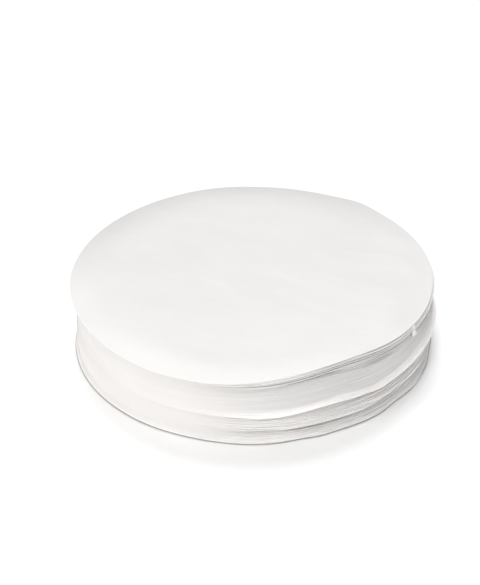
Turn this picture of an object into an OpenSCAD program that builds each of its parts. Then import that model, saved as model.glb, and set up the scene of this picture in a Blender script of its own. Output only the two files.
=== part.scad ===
// A stack of round filter papers, lying flat on its lowest disc.
// The origin is the centre of the lowest disc's underside, and +Z is up.
// Every disc is a solid of its own. Discs are counted from the bottom, where the first is number 0.

/* [Disc] */
// Diameter of a full-size disc
disc_d = 125; // [90:1:185]
// Thickness of one disc
paper_t = 0.2; // [0.15:0.01:0.4]
// Air left between one disc and the next
air_gap = 0.05; // [0.02:0.005:0.2]

/* [How many discs] */
// Loose discs just under the top one, each a node of its own
loose_count = 9; // [1:1:20]
// Discs in the thick upper bundle
upper_count = 48; // [2:1:80]
// Discs in the middle bundle
middle_count = 20; // [2:1:40]
// Discs in the narrow bundle, whose edge stands back
narrow_count = 8; // [2:1:20]
// Discs in the lower bundle
lower_count = 13; // [2:1:40]

/* [Cut edge] */
// How much farther out the knife cut the upper bundle's last disc than its first
upper_flare = 1.0; // [0:0.1:2]
// The same for the middle bundle
middle_flare = 0.3; // [0:0.1:2]
// The same for the lower bundle
lower_flare = 1.2; // [0:0.1:2]
// How hollow those cut edges are: 1 is straight, and more keeps the flare to a bundle's lowest discs
lip = 2.5; // [1:0.5:5]
// How much less the radius of the narrow bundle's discs is than a full-size disc's
narrow_inset = 1.3; // [0:0.1:4]

/* [How the discs lie] */
// How far the top disc lies to the right of the bottom one, along X
top_x = 0.2; // [-4:0.1:4]
// How far each loose disc has slid from the top disc's place, each in a direction of its own
loose_slide = 0.5; // [0:0.05:2]
// How far the upper bundle has slid along X
upper_x = 1.5; // [-4:0.1:4]
// How far the middle bundle has slid along X
middle_x = 0.4; // [-4:0.1:4]
// How far the narrow bundle has slid along X
narrow_x = -0.9; // [-4:0.1:4]
// How far the narrow bundle has slid along Y
narrow_y = 0.3; // [-4:0.1:4]
// How far the lower bundle has slid along X
lower_x = 0.4; // [-4:0.1:4]
// How far each disc of the middle, narrow and lower bundles lies from its bundle's centre
ragged = 0.25; // [0:0.05:2]
// The same for the upper bundle, which is cut cleanly
upper_ragged = 0.05; // [0:0.01:1]

/* [Hidden] */
disc_r = disc_d / 2;
pitch = paper_t + air_gap;
// The first disc of each bundle, from the bottom up
first_lower = 1;
first_narrow = first_lower + lower_count;
first_middle = first_narrow + narrow_count;
first_upper = first_middle + middle_count;
first_loose = first_upper + upper_count;
top = first_loose + loose_count;
// The angle from one disc's slide to the next one's, which never brings two neighbours into line
slide_turn = 137.5;
paper_white = [0.97, 0.96, 0.95];
shaded_white = [0.92, 0.91, 0.89];
$fn = 180;

function loose_name(k) = str("loose_disc_", k);
function slide_way(i) = [cos(i * slide_turn), sin(i * slide_turn)];

// One sheet, number i in the stack, with its centre at the point place
module disc(i, r, place = [0, 0]) {
    translate([place.x, place.y, i * pitch])
        cylinder(h = paper_t, r = r);
}

// count discs around the point place, from number first up, with radii from r_low to r_high
module bundle(first, count, r_low, r_high, place, scatter) {
    for (k = [0:count - 1]) {
        i = first + k;
        height = k / (count - 1);
        r = r_high + (r_low - r_high) * pow(1 - height, lip);
        disc(i, r, place + scatter * slide_way(i));
    }
}

module top_disc() {
    color(paper_white)
        disc(top, disc_r, [top_x, 0]);
}

// Loose disc number 1 lies just under the top disc
module loose_disc(k) {
    i = top - k;
    color(paper_white)
        disc(i, disc_r, [top_x, 0] + loose_slide * slide_way(i));
}

module upper_bundle() {
    color(paper_white)
        bundle(first_upper, upper_count, disc_r, disc_r - upper_flare, [upper_x, 0], upper_ragged);
}

module middle_bundle() {
    color(shaded_white)
        bundle(first_middle, middle_count, disc_r, disc_r - middle_flare, [middle_x, 0], ragged);
}

module narrow_bundle() {
    narrow_r = disc_r - narrow_inset;
    color(shaded_white)
        bundle(first_narrow, narrow_count, narrow_r, narrow_r, [narrow_x, narrow_y], ragged);
}

module lower_bundle() {
    color(paper_white)
        bundle(first_lower, lower_count, disc_r, disc_r - lower_flare, [lower_x, 0], ragged);
}

module bottom_disc() {
    color(shaded_white)
        disc(0, disc_r);
}

top_disc();
for (k = [1:loose_count]) {
    loose_disc(k);
}
upper_bundle();
middle_bundle();
narrow_bundle();
lower_bundle();
bottom_disc();
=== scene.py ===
import math
import bpy
import numpy as np
from mathutils import Matrix, Vector


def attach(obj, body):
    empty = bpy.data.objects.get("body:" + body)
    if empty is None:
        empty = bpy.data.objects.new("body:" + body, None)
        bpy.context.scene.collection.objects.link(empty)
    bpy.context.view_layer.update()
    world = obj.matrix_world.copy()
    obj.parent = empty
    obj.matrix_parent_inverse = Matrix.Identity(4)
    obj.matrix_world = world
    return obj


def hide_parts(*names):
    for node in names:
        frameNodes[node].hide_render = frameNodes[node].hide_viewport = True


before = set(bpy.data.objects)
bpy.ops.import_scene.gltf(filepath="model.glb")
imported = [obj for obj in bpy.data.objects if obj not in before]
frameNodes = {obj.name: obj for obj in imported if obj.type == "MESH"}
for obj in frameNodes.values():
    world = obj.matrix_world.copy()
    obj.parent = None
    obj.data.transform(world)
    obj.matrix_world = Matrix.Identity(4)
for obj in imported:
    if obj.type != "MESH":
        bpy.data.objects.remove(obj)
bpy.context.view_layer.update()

# A stack of round filter papers.
# Angles are in degrees from +X, seen from above: -90 is the front, 0 the right and 180 the left.
mm = 0.001
discR = 62.5 * mm
sheetT = 0.2 * mm


def readDiscs(node):
    # underside height, centre and radius of each disc of a node, from the lowest up
    points = np.array([v.co for v in frameNodes[node].data.vertices])
    heights = np.round(points[:, 2] / mm, 3)
    levels = np.unique(np.round(heights, 2))
    discs = []
    for low in levels[0::2]:  # the levels between are the discs' upper faces
        rim = points[np.abs(heights - low) < 0.02]
        centre = (rim[:, :2].max(0) + rim[:, :2].min(0)) / 2
        radius = (rim[:, 0].max() - rim[:, 0].min()) / 2
        discs.append((low * mm, centre[0], centre[1], radius))
    return discs


def looseNumber(node):
    return int(node.split("_")[-1])


bundleNodes = ["lower_bundle", "narrow_bundle", "middle_bundle", "upper_bundle"]
looseNodes = sorted((n for n in frameNodes if n.startswith("loose_disc_")), key=looseNumber, reverse=True)
stackNodes = ["bottom_disc"] + bundleNodes + looseNodes + ["top_disc"]  # from the bottom up
stack = []
rowsOf = {}  # the rows of the stack that each node fills
for node in stackNodes:
    discs = readDiscs(node)
    rowsOf[node] = slice(len(stack), len(stack) + len(discs))
    stack += discs
stack = np.array(stack)
discCount = len(stack)
lowerRows, narrowRows, middleRows, upperRows = [rowsOf[node] for node in bundleNodes]
looseRows = slice(upperRows.stop, discCount - 1)
rimBase = stack[:, 0]
print("discs read from the frame:", discCount)


stations = 720
stationDeg = np.arange(stations) * 360 / stations - 180
noiseMargin = 12  # rows worked out past each end, so that the two ends don't follow each other


def rowCount(rows):
    return rows.stop - rows.start


def ringNoise(rows, alongDeg, upRows, seed):
    # even noise over rows of sheets that closes on itself round the rim
    allRows = rows + 2 * noiseMargin
    raw = np.random.default_rng(seed).standard_normal((allRows, stations))
    waveUp = np.fft.fftfreq(allRows)[:, None]
    waveAlong = np.fft.fftfreq(stations)[None, :]
    blurAlong = alongDeg * stations / 360 / 2.5
    keepAlong = np.exp(-2 * (math.pi * waveAlong * blurAlong) ** 2)
    keepUp = np.exp(-2 * (math.pi * waveUp * upRows) ** 2)
    field = np.real(np.fft.ifft2(np.fft.fft2(raw) * (keepAlong * keepUp)))[noiseMargin:noiseMargin + rows]
    return field / field.std()


def awayFrom(deg, at):
    return (deg - at + 180) % 360 - 180


def bump(at, width):
    # a smooth hump of height 1 round an angle
    return np.exp(-0.5 * (awayFrom(stationDeg, at) / width) ** 2)


def bumps(places):
    return sum(height * bump(at, width) for at, width, height in places)


def softStep(t):
    t = np.clip(t, 0, 1)
    return t * t * (3 - 2 * t)


def rise(start, width):
    return softStep((stationDeg - start) / width)


def between(left, right):
    # 1 from where left has risen to where right starts, each given as start and width
    return rise(*left) * (1 - rise(*right))


def roundRim(places):
    # values given at a few angles, joined round the rim
    angles, values = np.array(places, float).T
    return np.interp(stationDeg, angles, values, period=360)


def bell(reach, width):
    # weights of a blur over reach places each way
    weights = np.exp(-0.5 * (np.arange(-reach, reach + 1) / width) ** 2)
    return weights / weights.sum()


def growing(count):
    # 0 to 1 over count sheets, ever steeper
    return (np.arange(1, count + 1) / count) ** 1.5


# how the rims lie
lie = {
    "offFloor": 0.16,          # mm that the lowest rim curls up from the floor
    "offFloorUneven": 0.25,
    # (angle, width, mm) where the rims at the top of each bundle stand higher or lower than in the frame
    "lowerTop": [(-105, 35, -0.10), (-50, 22, -0.34)],
    "narrowTop": [(-105, 35, -0.30), (-62, 10, 0.15), (-36, 15, -0.66)],
    "middleTop": [(-67, 10, 1.68), (-36, 9, 0.42), (-12, 24, 1.5)],
    "upperTop": [(-118, 24, -0.95), (-63, 12, 2.0), (-14, 22, 0.25), (95, 40, -0.2)],
    "stackTop": [(-118, 24, -1.25), (-63, 12, 2.2), (-32, 11, -0.1), (95, 40, -0.4)],
}
# least gap in mm, how uneven the gaps are, and how many of the uppermost ones gape by how much more
gapsIn = {
    "lower": {"least": 0.006, "uneven": 0.8, "gaping": 0, "gape": 0},
    "narrow": {"least": 0.006, "uneven": 0.6, "gaping": 2, "gape": 1.2},
    "middle": {"least": 0.006, "uneven": 0.5, "gaping": 1, "gape": 1.8},
    "upper": {"least": 0.014, "uneven": 0.4, "gaping": 0, "gape": 0},
    "loose": {"least": 0.006, "uneven": 0.4, "gaping": 0, "gape": 0},
}


def gapShares(gaps, style, group):
    # how the gaps of a bundle share its spare height
    longWaves = ringNoise(gaps, 26, 0.7, 100 + group)
    shortWaves = ringNoise(gaps, 9, 0.5, 120 + group)
    shares = np.exp(style["uneven"] * (0.8 * longWaves + 0.6 * shortWaves))
    shares *= 1 + style["gape"] * (np.arange(gaps)[:, None] >= gaps - style["gaping"])
    return shares / shares.sum(0)


boundaries = [
    (0, lie["offFloor"] * (1 + lie["offFloorUneven"] * ringNoise(1, 30, 0.1, 90)[0])),
    (lowerRows.stop, bumps(lie["lowerTop"])),
    (narrowRows.stop, bumps(lie["narrowTop"])),
    (middleRows.stop, bumps(lie["middleTop"])),
    (upperRows.stop, bumps(lie["upperTop"])),
    (discCount - 1, bumps(lie["stackTop"])),
]
shift = np.zeros((discCount, stations))  # how far each rim stands above its height in the frame
shift[0] = boundaries[0][1] * mm
for group, style in enumerate(gapsIn.values()):
    low, shiftLow = boundaries[group]
    high, shiftHigh = boundaries[group + 1]
    gaps = high - low
    leastGap = style["least"] * mm
    room = (rimBase[high] - rimBase[low]) - gaps * sheetT + (shiftHigh - shiftLow) * mm
    spare = np.maximum(room - gaps * leastGap, 0)
    gapHere = leastGap + spare * gapShares(gaps, style, group)
    for k in range(gaps):
        row = low + k + 1
        shift[row] = shift[row - 1] + gapHere[k] + sheetT - (rimBase[row] - rimBase[row - 1])
print("rim shifts, mm:", round(float(shift.min() / mm), 2), "to", round(float(shift.max() / mm), 2))


# how far each cut edge stands out from the frame's circle
rimOut = np.zeros((discCount, stations))
ragged = {
    "leftShare": 0.15,         # what is left of it on the smooth left side
    "fullBetween": ((-112, 34), (100, 40)),
    "roughestAt": (-38, 26),
    "roughShare": 0.35,        # what is left of it away from the roughest place, in two of the bundles
}
calm = ragged["leftShare"] + (1 - ragged["leftShare"]) * between(*ragged["fullBetween"])
rough = calm * (ragged["roughShare"] + (1 - ragged["roughShare"]) * bump(*ragged["roughestAt"]))


def addGrain(rows, grain, sides):
    # a grain is degrees along the rim, sheets up, seed and mm
    alongDeg, upRows, seed, out = grain
    rimOut[rows] += ringNoise(rowCount(rows), alongDeg, upRows, seed) * (out * mm) * sides


def pushOut(rows, shape, out, sides=1):
    # the shape has one value for each sheet, or one for each sheet and station
    shape = shape[:, None] if shape.ndim == 1 else shape
    rimOut[rows] += shape * (out * mm) * sides


lowerCut = {
    "grain": (11, 0.8, 5, 0.26),
    # the lowest sheets run in waves and spread out
    "waves": (9, 1.4, 6, 0.36), "waveSheets": 4, "waveAt": (-50, 26), "waveShare": 0.15,
    "foot": 0.5, "footSheets": 5, "footFade": 2.2,
    # the face slopes back to the recess
    "slope": 0.5, "slopeSheets": 7, "slopeBetween": ((-112, 30), (60, 60)),
}
narrowCut = {
    "grain": (12, 0.7, 4, 0.25),
    "recess": 0.55, "recessAt": (-48, 24),    # deepest at the right of the front
}
middleCut = {
    "grain": (14, 0.8, 3, 0.28),
    "bulge": 0.35, "bulgeAt": (-38, 18),
    # its uppermost sheets stand back under the lip
    "under": 0.5, "underSheets": 3, "underBetween": ((-122, 30), (30, 60)),
}
upperCut = {
    "longGrain": (30, 2.2, 1, 0.035),
    "shortGrain": (10, 0.7, 2, 0.03),
    # a torn burr shows as bright broken lines
    "burr": 0.30, "burrGrain": (8, 0.45, 7), "burrLeast": 0.35,
    "burrSheets": 9, "burrFade": 3.2, "burrAt": (-58, 26), "burrShare": 0.3,
    # the knife pushed the lowest few sheets out into a lip, with a hollow over it
    "lip": 0.62, "lipSheets": 4, "lipStep": 0.5,
    "hollow": 0.85, "hollowFade": 9, "hollowSheets": 30,
    "lipFrom": (-130, 50), "lipLessFrom": (-20, 50), "lipLess": 0.75,
    # above a line in mm that drops to the right the sheets are scuffed and stand back
    "scuffAndShade": 0.42, "scuffMean": 0.7, "scuffUneven": 0.5, "scuffBlend": 0.5,
    "scuffLine": [(-180, 22.3), (-95, 22.2), (-60, 20.4), (-25, 18.2), (10, 20.5), (40, 22.2)],
}
addGrain(upperRows, upperCut["longGrain"], calm)
addGrain(upperRows, upperCut["shortGrain"], calm)
addGrain(middleRows, middleCut["grain"], rough)
pushOut(middleRows, np.ones(rowCount(middleRows)), middleCut["bulge"], bump(*middleCut["bulgeAt"]))
addGrain(narrowRows, narrowCut["grain"], calm)
addGrain(lowerRows, lowerCut["grain"], rough)

waveSides = lowerCut["waveShare"] + (1 - lowerCut["waveShare"]) * bump(*lowerCut["waveAt"])
footShape = np.exp(-(np.arange(lowerCut["footSheets"]) / lowerCut["footFade"]) ** 1.5)
slopeRows = slice(lowerRows.stop - lowerCut["slopeSheets"], lowerRows.stop)
addGrain(slice(1, 1 + lowerCut["waveSheets"]), lowerCut["waves"], waveSides)
pushOut(slice(1, 1 + lowerCut["footSheets"]), footShape, lowerCut["foot"])
pushOut(slopeRows, -growing(lowerCut["slopeSheets"]), lowerCut["slope"], between(*lowerCut["slopeBetween"]))
pushOut(narrowRows, -np.ones(rowCount(narrowRows)), narrowCut["recess"], bump(*narrowCut["recessAt"]))

burrRows = slice(upperRows.start, upperRows.start + upperCut["burrSheets"])
torn = np.maximum(ringNoise(upperCut["burrSheets"], *upperCut["burrGrain"]) - upperCut["burrLeast"], 0)
burrFade = np.exp(-np.arange(upperCut["burrSheets"]) / upperCut["burrFade"])[:, None]
burrSides = upperCut["burrShare"] + (1 - upperCut["burrShare"]) * bump(*upperCut["burrAt"])
pushOut(burrRows, torn * burrFade, upperCut["burr"], burrSides)
lipRows = slice(upperRows.start, upperRows.start + upperCut["hollowSheets"])
lipRow = np.arange(upperCut["hollowSheets"])
overLip = lipRow - (upperCut["lipSheets"] - 1)
hollow = -upperCut["hollow"] * np.exp(-overLip / upperCut["hollowFade"])
lipShape = np.where(lipRow < upperCut["lipSheets"], 1 - upperCut["lipStep"] * lipRow, hollow)
lipSides = rise(*upperCut["lipFrom"]) * (1 - upperCut["lipLess"] * rise(*upperCut["lipLessFrom"]))
pushOut(lipRows, lipShape, upperCut["lip"], lipSides)
underRows = slice(middleRows.stop - middleCut["underSheets"], middleRows.stop)
underSides = between(*middleCut["underBetween"])
pushOut(underRows, -growing(middleCut["underSheets"]), middleCut["under"], underSides)
scuffLine = roundRim(upperCut["scuffLine"]) * mm
for row in range(upperRows.start, upperRows.stop):
    overLine = rimBase[row] + shift[row] - shift[upperRows.start] - scuffLine
    above = softStep(overLine / (upperCut["scuffBlend"] * mm) + 0.5)
    uneven = upperCut["scuffMean"] + upperCut["scuffUneven"] * ringNoise(1, 14, 0.1, 300 + row)[0]
    rimOut[row] -= above * (upperCut["scuffAndShade"] * mm) * uneven

looseCut = {
    "longGrain": (60, 0.3, 8, 0.16),
    "shortGrain": (12, 0.4, 9, 0.07),
    "follow": 0.75,            # how far the loose sheets follow the top one's outline, less and less down
    "mostOut": 0.35,           # mm that they may stand out from under it
}
topCut = {
    "grain": (7, 0.1, 10, 0.04),
    "blurReach": 12, "blur": 4.0,
    # the outline isn't quite round: angle and mm
    "outline": [
        (-180, 0.3), (-150, 0.4), (-132, 0.4), (-120, 0.8), (-104, 0.9), (-90, 0.1), (-80, -0.6),
        (-68, -0.85), (-56, -0.8), (-44, -0.5), (-34, -0.3), (-20, 0), (0, 0.2), (27, -0.2), (40, -0.2),
        (44.5, 0.5), (49, 1.2), (53.5, 0.4), (60, -0.5), (69, -0.8), (77, -0.6), (87, -0.5), (96, 0.3),
        (110, 0.5), (116, 0.5), (128, 0.3), (160, 0.2),
    ],
}
addGrain(looseRows, looseCut["longGrain"], calm)
addGrain(looseRows, looseCut["shortGrain"], calm)
wrap = topCut["blurReach"]
topOut = roundRim(topCut["outline"]) * mm
topOut = np.concatenate([topOut[-wrap:], topOut, topOut[:wrap]])
topOut = np.convolve(topOut, bell(wrap, topCut["blur"]), "valid")
rimOut[-1] += topOut
addGrain(slice(discCount - 1, discCount), topCut["grain"], 1)
for k, row in enumerate(range(looseRows.start, looseRows.stop)):
    rimOut[row] += topOut * looseCut["follow"] * (k + 1) / (rowCount(looseRows) + 1)
    rimOut[row] = np.minimum(rimOut[row], topOut + looseCut["mostOut"] * mm)

# on the left the cut is clean, so the edges there lie in one smooth face
cleanCut = {
    "raggedBetween": ((-113, 31), (110, 50)),  # it is clean everywhere else
    "blurReach": 18, "blur": 7.0,              # sheets
    "upright": 0.75,           # how far the face is drawn to one upright wall
    "uprightFrom": 11,         # the sheet where it is first drawn fully
}
bottomCut = {
    "peep": 0.2,               # mm that the bottom sheet peeps out from under the next one
}
toward = np.radians(stationDeg)


def reachOf(rows):
    # how far the cut edges lie from the middle of the stack
    discs = stack[rows]
    return discs[:, 3:4] + discs[:, 1:2] * np.cos(toward) + discs[:, 2:3] * np.sin(toward) + rimOut[rows]


reach = reachOf(slice(0, discCount))
spread = cleanCut["blurReach"]
blur = bell(spread, cleanCut["blur"])
padded = np.concatenate([reach[1:2]] * spread + [reach] + [reach[-1:]] * spread)
smoothFace = sum(weight * padded[k:k + discCount] for k, weight in enumerate(blur))
bundled = slice(1, upperRows.stop)
straight = smoothFace[bundled].mean(0)
drawn = cleanCut["upright"] * softStep(np.arange(1, upperRows.stop) / cleanCut["uprightFrom"])[:, None]
smoothFace[bundled] += drawn * (straight - smoothFace[bundled])
smoothFace[0] = reach[0]
clean = 1 - between(*cleanCut["raggedBetween"])
rimOut += (smoothFace - reach) * clean
lowest = reachOf(slice(0, 2))
rimOut[0] += lowest[1] + bottomCut["peep"] * mm - lowest[0]

# the cut frays each sheet's edge, which closes a share of the gap to the next sheet
fray = {
    "lower": 0.4, "narrow": 0.2, "middle": 0.7, "upper": 0.85, "loose": 0.6,
    "lipSheets": 5,            # the lip's own sheets aren't frayed
    "cleanLeft": 0.92,
    "leftOpen": 0.004 * mm,
    "most": 0.16 * mm,
}
frayShare = np.zeros(discCount)
frayShare[lowerRows] = fray["lower"]
frayShare[narrowRows] = fray["narrow"]
frayShare[middleRows] = fray["middle"]
frayShare[upperRows.start + fray["lipSheets"]:upperRows.stop] = fray["upper"]
frayShare[looseRows] = fray["loose"]
frayShare = frayShare[:, None] + (fray["cleanLeft"] - frayShare[:, None]) * clean
gapAbove = np.diff(rimBase[:, None] + shift, axis=0) - sheetT
frayed = np.zeros((discCount, stations))
frayed[:-1] = np.clip(gapAbove - fray["leftOpen"], 0, fray["most"]) * frayShare[:-1]


# sheets differ in tone, and painted light makes the edges at the front and right lighter
tones = {
    "long": (40, 0.4, 61), "longShare": 0.025,
    "short": (8, 0.5, 62), "shortShare": 0.015,
    "evenLeft": 0.75,
    "paintedLightFront": ((-116, 36), (60, 80)),
    "lower": 0.21, "narrow": 0.25, "middle": 0.22, "loose": 0.06,
    # less painted light on the middle bundle's uppermost sheets, which lie in the lip's shade
    "middleTopLess": 0.13, "middleTopFrom": 7, "middleTopOver": 8,
    # painted highlight on the lip, over more sheets at the right
    "lip": 0.44, "lipSheets": 5, "lipMore": 2, "lipMoreAt": (-64, 4.5),
    "lipRightMore": 7, "lipRightFrom": (-58, 45), "lipHighlightLess": 0.5, "lipHighlightLessFrom": (-38, 30),
    # the painted highlight fades into a faint painted light band at the left, with a band of painted shade
    # under it
    "band": 0.05, "bandSheets": 12, "bandAt": (-116, 13),
    "paintedShadeBand": 0.035, "paintedShadeBandSheets": 5, "paintedShadeBandAt": (-107, 13),
    # the lowest edges catch the light that the floor throws back, least at the front
    "floorGlow": 0.26, "floorGlowSheets": 6, "floorGlowLess": 0.8,
    "left": 0.05, "leftUpTo": 64, "leftFade": 20,
    # painted shade makes the upper sheets greyer at the front
    "scuffAndShade": 0.08, "frontShadeFrom": 24, "frontShadeOver": 12, "frontShadeAt": (-78, 24),
}
paintedLightFront = between(*tones["paintedLightFront"])
sheetRow = np.arange(discCount)
upperRow = np.arange(rowCount(upperRows))[:, None]
edgeTone = tones["longShare"] * ringNoise(discCount, *tones["long"])
edgeTone = edgeTone + tones["shortShare"] * ringNoise(discCount, *tones["short"])
edgeTone = 1 + edgeTone * (1 - tones["evenLeft"] * clean)
middleTop = softStep((np.arange(rowCount(middleRows)) - tones["middleTopFrom"]) / tones["middleTopOver"])
paintedLightShare = np.zeros(discCount)
paintedLightShare[:lowerRows.stop] = tones["lower"]
paintedLightShare[narrowRows] = tones["narrow"]
paintedLightShare[middleRows] = tones["middle"] - tones["middleTopLess"] * middleTop
paintedLightShare[looseRows] = tones["loose"]
# painted light on the edges at the front and right, by group
edgeTone += paintedLightShare[:, None] * paintedLightFront
lipReach = tones["lipSheets"] + tones["lipMore"] * bump(*tones["lipMoreAt"])
lipReach = lipReach + tones["lipRightMore"] * rise(*tones["lipRightFrom"])
lipHighlight = tones["lip"] * np.exp(-(upperRow / lipReach) ** 3)
# painted highlight along the lip, less at the right
edgeTone[upperRows] += lipHighlight * paintedLightFront * (1 - tones["lipHighlightLess"] * rise(*tones["lipHighlightLessFrom"]))
paintedLightBand = tones["band"] * np.exp(-(upperRow / tones["bandSheets"]) ** 3)
edgeTone[upperRows] += paintedLightBand * bump(*tones["bandAt"])
# painted shade on the sheets just under the upper bundle at the left
paintedShadeRows = slice(upperRows.start - tones["paintedShadeBandSheets"], upperRows.start)
edgeTone[paintedShadeRows] -= tones["paintedShadeBand"] * bump(*tones["paintedShadeBandAt"])
floorGlow = tones["floorGlow"] * np.exp(-sheetRow / tones["floorGlowSheets"])[:, None]
edgeTone += floorGlow * (1 - tones["floorGlowLess"] * paintedLightFront)
# painted light on the edges of the lower sheets on the clean left side
leftRows = 1 - softStep((sheetRow - tones["leftUpTo"]) / tones["leftFade"])
edgeTone += tones["left"] * clean * leftRows[:, None]
frontShade = softStep((sheetRow - upperRows.start - tones["frontShadeFrom"]) / tones["frontShadeOver"])
frontShade = frontShade * (sheetRow < upperRows.stop)
# painted shade on the upper sheets' edges at the front
edgeTone -= tones["scuffAndShade"] * frontShade[:, None] * bump(*tones["frontShadeAt"])


bend = {
    "start": 0.82,             # share of the radius where the rims begin to bend
    "curve": 1.7,
}


def atRim(values, deg):
    return np.interp(deg, stationDeg, values, period=360)


def bendAt(rho):
    t = np.maximum((rho / discR - bend["start"]) / (1 - bend["start"]), 0)
    return t ** bend["curve"]


def fan(centre, ring, nextRing):
    return [(centre, a, b) for a, b in zip(ring.tolist(), nextRing.tolist())]


def ringSheet(row, around, rings, lift=None, own=False):
    # vertices, triangles, quads and tones of one closed sheet of real thickness
    z, cx, cy, r = stack[row]
    angle = np.arange(around) * 2 * math.pi / around
    edge = r + atRim(rimOut[row], (np.degrees(angle) + 180) % 360 - 180)
    xs, ys = [[cx]], [[cy]]
    for share in rings:
        if own or share == 1:
            xs.append(cx + edge * share * np.cos(angle))
            ys.append(cy + edge * share * np.sin(angle))
        else:  # inner rings lie in the same places in every sheet, so that their bends nest
            xs.append(discR * share * np.cos(angle))
            ys.append(discR * share * np.sin(angle))
    x = np.concatenate(xs)
    y = np.concatenate(ys)
    deg = np.degrees(np.arctan2(y, x))
    under = z + atRim(shift[row], deg) * bendAt(np.hypot(x, y))
    if lift is not None:
        under = under + lift(x, y)
    over = under + sheetT
    over[-around:] += atRim(frayed[row], deg[-around:])
    verts = np.concatenate([np.stack([x, y, over], 1), np.stack([x, y, under], 1)])
    half = len(x)  # the underside's vertices follow the upper side's
    k = np.arange(around)
    nextK = (k + 1) % around
    tris = fan(0, 1 + k, 1 + nextK) + fan(half, half + 1 + nextK, half + 1 + k)
    quads = []
    for s in range(len(rings) - 1):
        a = 1 + s * around
        b = a + around
        quads.append(np.stack([a + k, b + k, b + nextK, a + nextK], 1))
        quads.append(np.stack([half + a + k, half + a + nextK, half + b + nextK, half + b + k], 1))
    a = half - around
    quads.append(np.stack([a + k, half + a + k, half + a + nextK, a + nextK], 1))
    tone = np.ones(2 * half)
    tone[half - around:half] = atRim(edgeTone[row], deg[-around:])
    tone[-around:] = tone[half - around:half]
    return verts, tris, np.concatenate(quads), tone


def sheetObject(name, parts, material):
    # one mesh object from several sheets
    verts, faces, partTones = [], [], []
    start = 0
    for partVerts, tris, quads, tone in parts:
        verts.append(partVerts)
        partTones.append(tone)
        faces += [tuple(start + corner for corner in tri) for tri in tris]
        faces += (quads + start).tolist()
        start += len(partVerts)
    mesh = bpy.data.meshes.new(name)
    mesh.from_pydata(np.concatenate(verts).tolist(), [], faces)
    mesh.validate()
    mesh.polygons.foreach_set("use_smooth", [True] * len(mesh.polygons))
    mesh.set_sharp_from_angle(angle=math.radians(40))
    toneLayer = mesh.attributes.new("tone", "FLOAT", "POINT")
    toneLayer.data.foreach_set("value", np.concatenate(partTones).astype(np.float32))
    mesh.materials.append(material)
    ob = bpy.data.objects.new(name, mesh)
    bpy.context.scene.collection.objects.link(ob)
    return ob


paper = {
    "white": (0.655, 0.644, 0.639),
    "warm": (0.637, 0.623, 0.614),
    # painted contact shadow along the bottom sheet's rim
    "contactShade": (0.35, 0.345, 0.34),
    "contactShadeRim": 2.5 * mm, "contactShadeBlend": 1.5 * mm,
    # scale, detail and roughness of each noise, and for two of them the turn and stretch
    "cloud": (38, 4, 0.55),
    "fleck": (420, 3, 0.6),
    "fibre": (1500, 4, 0.7), "fibreTurn": 0.5, "fibreStretch": (1, 0.35, 1),
    "crepe": (160, 3, 0.5), "crepeTurn": -0.5, "crepeStretch": (0.45, 1, 1),
    "fleckShare": 0.35,
    "warmBelow": 0.45,
    "whiteAbove": 0.85,
    "roughLow": 0.78,
    "roughHigh": 0.94,
    "specular": 0.2,
    "fibreBump": 0.16, "fibreDepth": 0.1 * mm,
    "crepeBump": 0.10, "crepeDepth": 0.4 * mm,
}


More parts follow.
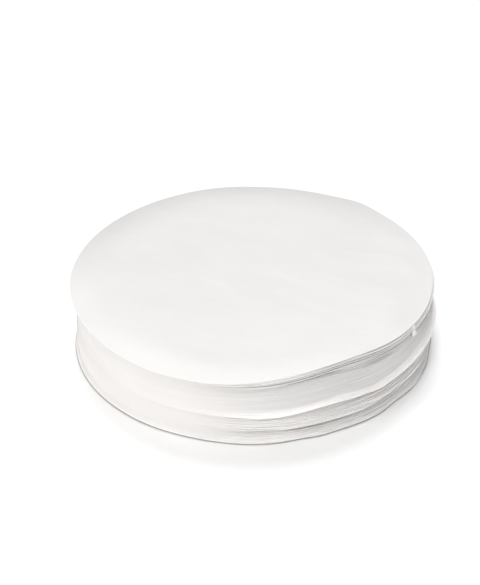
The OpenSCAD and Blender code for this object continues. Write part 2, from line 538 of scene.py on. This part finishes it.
def paperMaterial(name, contactShaded=False):
    m = bpy.data.materials.new(name)
    m.use_nodes = True
    t = m.node_tree
    t.nodes.clear()
    out = t.nodes.new("ShaderNodeOutputMaterial")
    shader = t.nodes.new("ShaderNodeBsdfPrincipled")
    where = t.nodes.new("ShaderNodeTexCoord")

    def noise(grain, turn=0, stretch=None):
        n = t.nodes.new("ShaderNodeTexNoise")
        for socket, value in zip(("Scale", "Detail", "Roughness"), grain):
            n.inputs[socket].default_value = value
        position = where.outputs["Object"]
        if stretch:
            mapping = t.nodes.new("ShaderNodeMapping")
            mapping.inputs["Rotation"].default_value = (0, 0, turn)
            mapping.inputs["Scale"].default_value = stretch
            t.links.new(position, mapping.inputs["Vector"])
            position = mapping.outputs["Vector"]
        t.links.new(position, n.inputs["Vector"])
        return n

    def bumpNode(relief, strength, depth):
        n = t.nodes.new("ShaderNodeBump")
        n.inputs["Strength"].default_value = strength
        n.inputs["Distance"].default_value = depth
        t.links.new(relief.outputs["Fac"], n.inputs["Height"])
        return n

    cloud = noise(paper["cloud"])
    fleck = noise(paper["fleck"])
    fibre = noise(paper["fibre"], paper["fibreTurn"], paper["fibreStretch"])
    crepe = noise(paper["crepe"], paper["crepeTurn"], paper["crepeStretch"])

    # clouds and flecks mix the two whites, and each sheet's edge has a tone of its own, partly random and
    # partly painted light and shade
    both = t.nodes.new("ShaderNodeMath")
    both.operation = "MULTIPLY_ADD"
    t.links.new(fleck.outputs["Fac"], both.inputs[0])
    both.inputs[1].default_value = paper["fleckShare"]
    t.links.new(cloud.outputs["Fac"], both.inputs[2])
    whites = t.nodes.new("ShaderNodeValToRGB")
    whites.color_ramp.elements[0].position = paper["warmBelow"]
    whites.color_ramp.elements[0].color = (*paper["warm"], 1)
    whites.color_ramp.elements[1].position = paper["whiteAbove"]
    whites.color_ramp.elements[1].color = (*paper["white"], 1)
    t.links.new(both.outputs[0], whites.inputs["Fac"])
    sheetTone = t.nodes.new("ShaderNodeAttribute")
    sheetTone.attribute_name = "tone"
    toned = t.nodes.new("ShaderNodeVectorMath")
    toned.operation = "SCALE"
    t.links.new(whites.outputs["Color"], toned.inputs[0])
    t.links.new(sheetTone.outputs["Fac"], toned.inputs["Scale"])
    colour = toned.outputs["Vector"]
    if contactShaded:  # painted contact shadow darkens the rim
        flat = t.nodes.new("ShaderNodeVectorMath")
        flat.operation = "MULTIPLY"
        flat.inputs[1].default_value = (1, 1, 0)
        t.links.new(where.outputs["Object"], flat.inputs[0])
        outward = t.nodes.new("ShaderNodeVectorMath")
        outward.operation = "LENGTH"
        t.links.new(flat.outputs["Vector"], outward.inputs[0])
        nearRim = t.nodes.new("ShaderNodeMapRange")
        nearRim.inputs["From Min"].default_value = discR - paper["contactShadeRim"]
        nearRim.inputs["From Max"].default_value = discR - paper["contactShadeRim"] + paper["contactShadeBlend"]
        t.links.new(outward.outputs["Value"], nearRim.inputs["Value"])
        contactShade = t.nodes.new("ShaderNodeMix")
        contactShade.data_type = "RGBA"
        t.links.new(nearRim.outputs["Result"], contactShade.inputs["Factor"])
        t.links.new(colour, contactShade.inputs["A"])
        contactShade.inputs["B"].default_value = (*paper["contactShade"], 1)
        colour = contactShade.outputs["Result"]
    t.links.new(colour, shader.inputs["Base Color"])

    gloss = t.nodes.new("ShaderNodeMapRange")
    gloss.inputs["To Min"].default_value = paper["roughLow"]
    gloss.inputs["To Max"].default_value = paper["roughHigh"]
    t.links.new(fleck.outputs["Fac"], gloss.inputs["Value"])
    t.links.new(gloss.outputs["Result"], shader.inputs["Roughness"])
    shader.inputs["Specular IOR Level"].default_value = paper["specular"]
    crepeLift = bumpNode(crepe, paper["crepeBump"], paper["crepeDepth"])
    fibreLift = bumpNode(fibre, paper["fibreBump"], paper["fibreDepth"])
    t.links.new(crepeLift.outputs["Normal"], fibreLift.inputs["Normal"])
    t.links.new(fibreLift.outputs["Normal"], shader.inputs["Normal"])
    t.links.new(shader.outputs["BSDF"], out.inputs["Surface"])
    return m


paperMat = paperMaterial("paper")
contactShadeMat = paperMaterial("paper.contact_shade", contactShaded=True)
pieces = {}


def addPiece(node, parts, material=paperMat):
    # a piece takes its node's place and name
    ob = sheetObject(node.replace("_", "."), parts, material)
    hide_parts(node)
    pieces[node] = ob


bundle = {
    "around": 240,
    "rings": [0.82, 0.88, 0.94, 1.0],
}
for node in bundleNodes:
    rows = range(rowsOf[node].start, rowsOf[node].stop)
    addPiece(node, [ringSheet(row, bundle["around"], bundle["rings"]) for row in rows])
print("bundles made")


# the bottom sheet and the loose ones
single = {
    "around": 480,
    "rings": [0.4, 0.82, 0.88, 0.94, 1.0],
}
# a small torn strip hangs from the uppermost loose sheet's rim and curls outwards, in mm
tab = {
    "angle": -33,
    "steps": 14,
    "flat": 0.25,              # share of its length that still lies on the sheet
    "root": -0.7, "flatLength": 1.3, "bendAt": 0.6,
    "curl": 0.45, "curlTurn": 2.4, "kick": 0.6,
    "drop": 3.1, "dropWave": 0.25, "dropWaveTurn": 3,
    "halfWidth": 0.7, "widens": 0.7,
    "sway": 0.35, "swayTurn": 0.5,
    "thick": 0.17,
    "lift": 0.015,
    # painted light: the strip's tone is raised so it shows brighter than the paper
    "tone": 1.2,
}


def tabPath():
    # the strip's line: outwards from the rim, and up
    path = []
    for s in np.linspace(0, 1, tab["steps"]):
        if s < tab["flat"]:
            path.append((tab["root"] + tab["flatLength"] * s / tab["flat"], 0.0))
        else:
            u = (s - tab["flat"]) / (1 - tab["flat"])
            out = tab["bendAt"] + tab["curl"] * math.sin(u * tab["curlTurn"]) + tab["kick"] * u ** 3
            path.append((out, -tab["drop"] * u + tab["dropWave"] * math.sin(u * tab["dropWaveTurn"])))
    return np.array(path) * mm


def tornTab(row):
    z, cx, cy, r = stack[row]
    angle = math.radians(tab["angle"])
    rimAt = r + float(atRim(rimOut[row], tab["angle"])) + cx * math.cos(angle) + cy * math.sin(angle)
    base = z + float(atRim(shift[row], tab["angle"])) + tab["lift"] * mm
    outward = np.array([math.cos(angle), math.sin(angle)])
    sideways = np.array([-math.sin(angle), math.cos(angle)])
    path = tabPath()
    tangent = np.gradient(path, axis=0)
    tangent /= np.linalg.norm(tangent, axis=1)[:, None]
    normal = np.stack([-tangent[:, 1], tangent[:, 0]], 1)
    last = tab["steps"] - 1
    verts, quads = [], []
    for k in range(tab["steps"]):
        half = (tab["halfWidth"] + tab["widens"] * (k / last) ** 2) * mm
        sway = tab["sway"] * mm * math.sin(k * tab["swayTurn"])
        for along, up in ((-half, 0), (half, 0), (half, 1), (-half, 1)):
            out, height = path[k] + normal[k] * (up * tab["thick"] * mm)
            x, y = outward * (rimAt + out) + sideways * (along + sway)
            verts.append((x, y, base + height))
    for k in range(last):
        for c in range(4):
            d = (c + 1) % 4
            quads.append((4 * k + c, 4 * k + 4 + c, 4 * k + 4 + d, 4 * k + d))
    end = 4 * last
    quads += [(0, 1, 2, 3), (end + 3, end + 2, end + 1, end)]
    return np.array(verts), [], np.array(quads), np.full(len(verts), tab["tone"])


# the bottom sheet's rim carries painted contact shadow
addPiece("bottom_disc", [ringSheet(0, single["around"], single["rings"])], contactShadeMat)
for node in looseNodes:
    row = rowsOf[node].start
    parts = [ringSheet(row, single["around"], single["rings"])]
    if node == looseNodes[-1]:
        parts.append(tornTab(row))
    addPiece(node, parts)
print("loose sheets made")


top = {
    "around": 400,
    "rings": 84, "firstRing": 0.012, "crowding": 1.15,    # the rings crowd towards the rim
    "blotch": 0.3 * mm,
    "dimple": 0.085 * mm,
    "dent": 0.03 * mm,
    "least": 0.03 * mm,        # the relief never comes lower than this
    "flatFrom": 0.86, "flatOver": 0.13,
    # wave in mm, stretch, turn and seed
    "blotches": (30, 1.6, -0.55, 21),
    "dimples": (11, 2.0, -0.5, 22),
    "dents": (5, 1.6, -0.4, 23),
    # painted shade makes the rim greyer at the back, and painted light makes it lighter at the left of the
    # front
    "paintedRimShade": 0.14, "paintedRimShadeRound": (103, 36, 52), "paintedRimShadeFrom": 0.7, "paintedRimShadeOver": 0.3, "paintedRimShadeCurve": 1.6,
    "paintedRimLight": 0.05, "paintedRimLightRound": (-112, 45, 35), "paintedRimLightFrom": 0.8, "paintedRimLightOver": 0.16,
    "creaseWander": 0.8, "creaseTurn": 0.35, "creaseEnds": 4,
}
# faint creases: start, end, width and height in mm
creases = [
    ((35, 14), (53, 7.5), 1.2, 0.22),
    ((-26, 40), (-17, 37), 1.0, 0.16),
    ((-13, 44), (-5, 42.5), 0.9, 0.14),
    ((-52, 11), (-45, 8.5), 1.0, 0.16),
    ((-34, -11), (-25, -15), 1.3, 0.14),
    ((-30, 5), (-21, 1.5), 1.6, 0.12),
    ((-4, -6), (6, -10), 1.4, 0.13),
    ((-22, -24), (-6, -29), 1.0, 0.10),
    ((36, -41), (44, -37), 1.0, 0.12),
]
cells = 256
fieldHalf = 70 * mm  # the noise covers a square that reaches this far each way
cellSize = 2 * fieldHalf / cells


def planeNoise(wave, stretch, turn, seed):
    # even noise over a square that covers the sheet
    spectrum = np.fft.fft2(np.random.default_rng(seed).standard_normal((cells, cells)))
    waveY = np.fft.fftfreq(cells, cellSize / mm)[:, None]
    waveX = np.fft.fftfreq(cells, cellSize / mm)[None, :]
    along = waveX * math.cos(turn) + waveY * math.sin(turn)
    across = -waveX * math.sin(turn) + waveY * math.cos(turn)
    blurWide = wave / 4.5
    keep = np.exp(-2 * (math.pi * blurWide) ** 2 * ((along * stretch) ** 2 + across ** 2))
    field = np.real(np.fft.ifft2(spectrum * keep))
    return field / field.std()


def readPlane(field, x, y):
    u = np.clip((x + fieldHalf) / cellSize, 0, cells - 1.001)
    v = np.clip((y + fieldHalf) / cellSize, 0, cells - 1.001)
    a, b = u.astype(int), v.astype(int)
    fu, fv = u - a, v - b
    return (field[b, a] * (1 - fu) * (1 - fv) + field[b, a + 1] * fu * (1 - fv)
            + field[b + 1, a] * (1 - fu) * fv + field[b + 1, a + 1] * fu * fv)


def crease(x, y, start, end, width, height):
    dx, dy = end[0] - start[0], end[1] - start[1]
    length = math.hypot(dx, dy)
    px, py = x / mm - start[0], y / mm - start[1]
    along = (px * dx + py * dy) / length
    across = (-px * dy + py * dx) / length + top["creaseWander"] * np.sin(along * top["creaseTurn"])
    fromStart = softStep(along / top["creaseEnds"] + 0.5)
    toEnd = 1 - softStep((along - length) / top["creaseEnds"] + 0.5)
    return height * mm * (fromStart * toEnd) * np.exp(-0.5 * (across / width) ** 2)


blotches = planeNoise(*top["blotches"])
dimples = planeNoise(*top["dimples"])
dents = planeNoise(*top["dents"])


def topRelief(x, y):
    inside = 1 - softStep((np.hypot(x, y) / discR - top["flatFrom"]) / top["flatOver"])
    relief = top["blotch"] * (readPlane(blotches, x, y) * 0.5 + 1.0)
    relief = relief + top["dimple"] * readPlane(dimples, x, y) + top["dent"] * readPlane(dents, x, y)
    for start, end, width, height in creases:
        relief = relief + crease(x, y, start, end, width, height)
    return np.maximum(relief, top["least"]) * inside + top["least"] * (1 - inside)


def roundAngle(deg, at, wide, fade):
    return 1 - softStep((np.abs(awayFrom(deg, at)) - wide) / fade)


def topTone(x, y):
    deg = np.degrees(np.arctan2(y, x))
    share = np.hypot(x, y) / discR
    grey = np.clip((share - top["paintedRimShadeFrom"]) / top["paintedRimShadeOver"], 0, 1) ** top["paintedRimShadeCurve"]
    white = softStep((share - top["paintedRimLightFrom"]) / top["paintedRimLightOver"])
    # painted shade at the back of the rim, painted light at the left of the front
    return (1 - roundAngle(deg, *top["paintedRimShadeRound"]) * top["paintedRimShade"] * grey
            + roundAngle(deg, *top["paintedRimLightRound"]) * top["paintedRimLight"] * white)


topRings = list(1 - (1 - np.linspace(top["firstRing"], 1, top["rings"])) ** top["crowding"])
verts, tris, quads = ringSheet(discCount - 1, top["around"], topRings, topRelief, own=True)[:3]
addPiece("top_disc", [(verts, tris, quads, topTone(verts[:, 0], verts[:, 1]))])
print("top sheet made")


for ob in pieces.values():
    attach(ob, "root")


studio = {
    "floorWhite": (0.89, 0.89, 0.89), "floorRough": 0.9,
    "flatRadius": 2.4, "sweepRadius": 0.9, "sweepHeight": 0.63, "sweepSteps": 12, "turns": 96,
    "underStack": 0.02 * mm,   # keeps the floor clear of the lowest sheet
    "world": 0.21,
    "white": (1, 1, 1), "warm": (1.0, 0.983, 0.955),
    # strength, azimuth, height and spread of each broad light
    "sky": (2.0, 88, 56, 34),
    "over": (0.5, -104, 58, 36),
    "fill": (0.735, -28, 16, 40),
    "key": (2.7, -153, 13, 24),
    "frontPower": 0.76, "frontSize": 0.28, "frontAt": (0.0, -0.28, 0.42), "frontAim": (0, 0, 0.02),
}


def makeFloor():
    # a flat disc that sweeps up far away
    profile = [(0.0, 0.0), (0.3, 0.0), (0.8, 0.0), (studio["flatRadius"], 0.0)]
    sweep = studio["sweepRadius"]
    for k in range(1, studio["sweepSteps"] + 1):
        a = k * math.acos(1 - studio["sweepHeight"] / sweep) / studio["sweepSteps"]
        profile.append((studio["flatRadius"] + sweep * math.sin(a), sweep * (1 - math.cos(a))))
    turns = studio["turns"]
    verts = [(0.0, 0.0, 0.0)]
    for out, height in profile[1:]:
        for k in range(turns):
            a = 2 * math.pi * k / turns
            verts.append((out * math.cos(a), out * math.sin(a), height))
    faces = [(0, 1 + k, 1 + (k + 1) % turns) for k in range(turns)]
    for s in range(len(profile) - 2):
        a, b = 1 + s * turns, 1 + (s + 1) * turns
        faces += [(a + k, b + k, b + (k + 1) % turns, a + (k + 1) % turns) for k in range(turns)]
    mesh = bpy.data.meshes.new("floor")
    mesh.from_pydata(verts, [], faces)
    mesh.polygons.foreach_set("use_smooth", [True] * len(mesh.polygons))
    m = bpy.data.materials.new("floor")
    m.use_nodes = True
    shader = m.node_tree.nodes["Principled BSDF"]
    shader.inputs["Base Color"].default_value = (*studio["floorWhite"], 1)
    shader.inputs["Roughness"].default_value = studio["floorRough"]
    shader.inputs["Specular IOR Level"].default_value = 0.0
    mesh.materials.append(m)
    ob = bpy.data.objects.new("floor", mesh)
    ob.location.z = -studio["underStack"]
    bpy.context.scene.collection.objects.link(ob)


def addLamp(lamp, towards):
    # the lamp shines from the side that towards points to
    ob = bpy.data.objects.new(lamp.name, lamp)
    ob.rotation_euler = towards.to_track_quat("Z", "Y").to_euler()
    bpy.context.scene.collection.objects.link(ob)
    return ob


def addSun(name, colour):
    strength, azimuth, height, spread = studio[name]
    lamp = bpy.data.lights.new(name, "SUN")
    lamp.energy = strength
    lamp.angle = math.radians(spread)
    lamp.color = studio[colour]
    a, h = math.radians(azimuth), math.radians(height)
    addLamp(lamp, Vector((math.cos(a) * math.cos(h), math.sin(a) * math.cos(h), math.sin(h))))


def addFrontLamp():
    lamp = bpy.data.lights.new("front", "AREA")
    lamp.shape = "DISK"
    lamp.size = studio["frontSize"]
    lamp.energy = studio["frontPower"]
    ob = addLamp(lamp, Vector(studio["frontAt"]) - Vector(studio["frontAim"]))
    ob.location = studio["frontAt"]


makeFloor()
addSun("sky", "white")
addSun("over", "white")
addSun("fill", "white")
addSun("key", "warm")
addFrontLamp()
world = bpy.data.worlds.new("room")
world.use_nodes = True
world.node_tree.nodes["Background"].inputs["Color"].default_value = (1, 1, 1, 1)
world.node_tree.nodes["Background"].inputs["Strength"].default_value = studio["world"]
bpy.context.scene.world = world
bpy.context.scene.view_settings.view_transform = "Standard"
print("studio made")

view = {
    "target": (0, 0, 0.012), "distance": 0.5,
    "height": 33.29, "roll": 1.25,             # degrees
    "lens": 87.57, "sensor": 36,
    "left": 3.83 * mm, "up": 4.15 * mm,        # how far the camera stands aside of its target
    "near": 0.01, "far": 20,
}


def makeCamera():
    h = math.radians(view["height"])
    roll = math.radians(view["roll"])
    forward = Vector((0, math.cos(h), -math.sin(h)))
    levelRight = Vector((1, 0, 0))
    levelUp = Vector((0, math.sin(h), math.cos(h)))
    right = levelRight * math.cos(roll) - levelUp * math.sin(roll)
    up = levelRight * math.sin(roll) + levelUp * math.cos(roll)
    stand = Vector(view["target"]) - forward * view["distance"] - right * view["left"] + up * view["up"]
    camera = bpy.data.cameras.new("camera")
    camera.sensor_fit = "AUTO"
    camera.sensor_width = view["sensor"]
    camera.lens = view["lens"]
    camera.clip_start = view["near"]
    camera.clip_end = view["far"]
    ob = bpy.data.objects.new("camera", camera)
    ob.matrix_world = Matrix((
        (right.x, up.x, -forward.x, stand.x),
        (right.y, up.y, -forward.y, stand.y),
        (right.z, up.z, -forward.z, stand.z),
        (0, 0, 0, 1)))
    bpy.context.scene.collection.objects.link(ob)
    bpy.context.scene.camera = ob


makeCamera()
